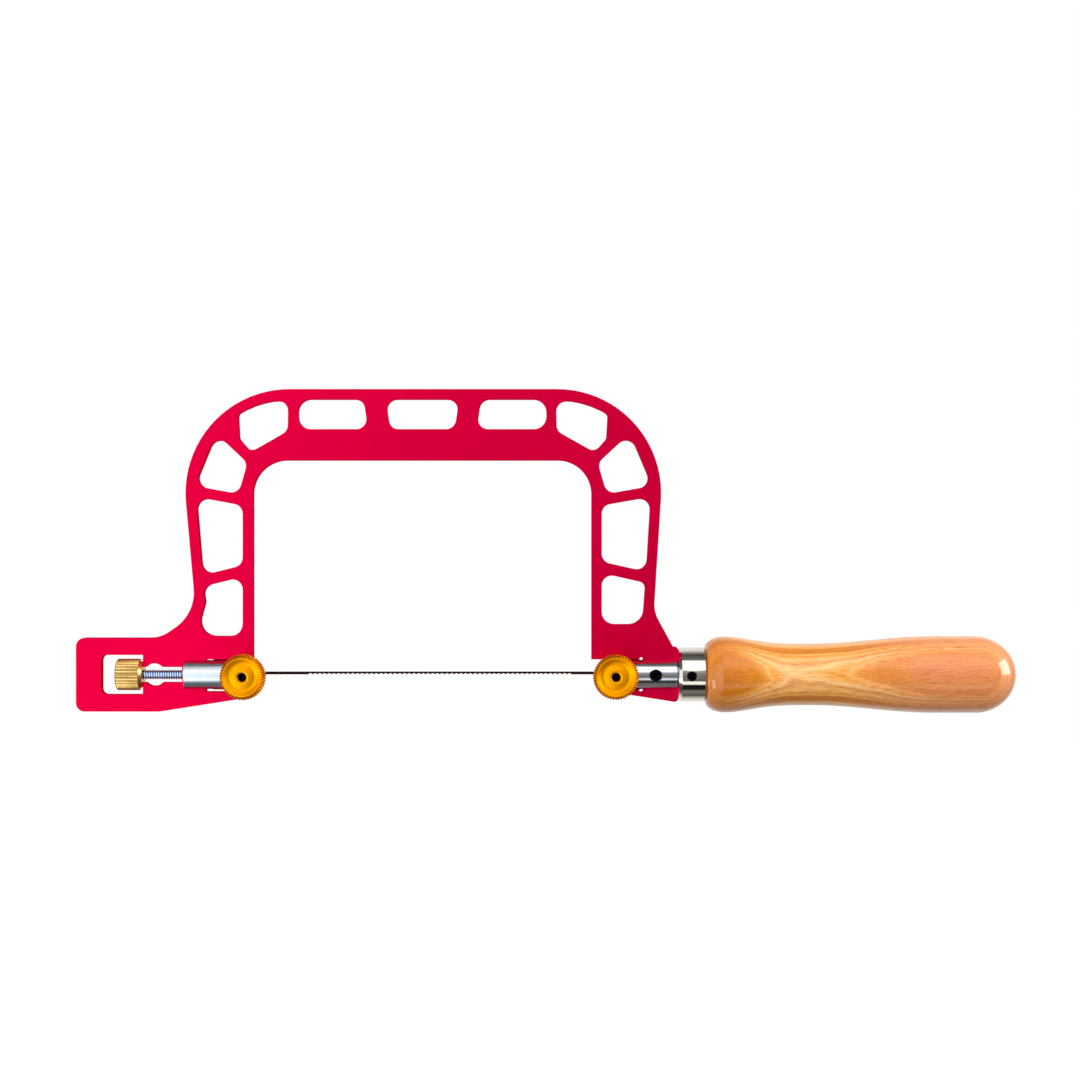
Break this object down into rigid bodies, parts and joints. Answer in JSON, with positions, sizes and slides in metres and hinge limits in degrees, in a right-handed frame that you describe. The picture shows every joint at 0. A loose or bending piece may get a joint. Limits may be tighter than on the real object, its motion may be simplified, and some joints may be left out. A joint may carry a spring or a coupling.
{
  "type": "fret saw",
  "caption": "Hand fret saw: flat plate frame with lightening windows, knurled blade clamps, a screw-tensioned sliding front bar, a fine blade and a turned wooden handle.",
  "frame": {"origin": "on the handle's axis, at the grip's waist", "axes": "+X along the blade and bars towards the handle's butt, +Y away from the clamp knobs, +Z from the blade up to the spine"},
  "size_m": [0.3188, 0.0275, 0.1099],
  "materials": {
    "red_anodised": "red anodised",
    "bar_aluminium": "turned, bright",
    "gold_anodised": "gold anodised",
    "brass": "satin",
    "zinc_steel": "bright zinc",
    "black_oxide": "black oxide",
    "blade_steel": "blued spring steel",
    "nickel_plate": "polished nickel",
    "lacquered_wood": "clear gloss lacquer"
  },
  "bodies": {
    "frame": {"frame_plate": "red_anodised", "rear_bar": "bar_aluminium", "rear_bar_screw": "black_oxide", "rear_anvil_screw": "black_oxide", "blade": "blade_steel", "ferrule": "nickel_plate", "ferrule_screw": "black_oxide", "handle": "lacquered_wood"},
    "tension": {"tension_knob": "brass", "tension_screw": "zinc_steel"},
    "front_slide": {"front_bar": "bar_aluminium", "front_anvil_screw": "black_oxide"},
    "front_pad": {"front_clamp_pad": "zinc_steel"},
    "front_knob": {"front_clamp_knob": "gold_anodised", "front_clamp_screw": "black_oxide"},
    "rear_pad": {"rear_clamp_pad": "zinc_steel"},
    "rear_knob": {"rear_clamp_knob": "gold_anodised", "rear_clamp_screw": "black_oxide"}
  },
  "joints": [
    {"name": "tension_turn", "type": "hinge", "parent": "frame", "child": "tension", "pos_m": [-0.2305, 0, 0], "axis": [-1, 0, 0], "range_deg": [-720, 1440]},
    {"name": "front_bar_slide", "type": "slide", "parent": "frame", "child": "front_slide", "axis": [1, 0, 0], "range_m": [-0.00159, 0.00318]},
    {"name": "front_pad_slide", "type": "slide", "parent": "front_slide", "child": "front_pad", "axis": [0, -1, 0], "range_m": [0, 0.00159]},
    {"name": "front_knob_turn", "type": "hinge", "parent": "front_pad", "child": "front_knob", "pos_m": [-0.1904, -0.0095, 0], "axis": [0, -1, 0], "range_deg": [0, 720]},
    {"name": "rear_pad_slide", "type": "slide", "parent": "frame", "child": "rear_pad", "axis": [0, -1, 0], "range_m": [0, 0.00159]},
    {"name": "rear_knob_turn", "type": "hinge", "parent": "rear_pad", "child": "rear_knob", "pos_m": [-0.066, -0.0095, 0], "axis": [0, -1, 0], "range_deg": [0, 720]}
  ],
  "couplings": [
    {"joint": "front_bar_slide", "follows": "tension_turn", "m_per_rad": 0.00012637},
    {"joint": "front_pad_slide", "follows": "front_knob_turn", "m_per_rad": 0.00012637},
    {"joint": "rear_pad_slide", "follows": "rear_knob_turn", "m_per_rad": 0.00012637}
  ]
}
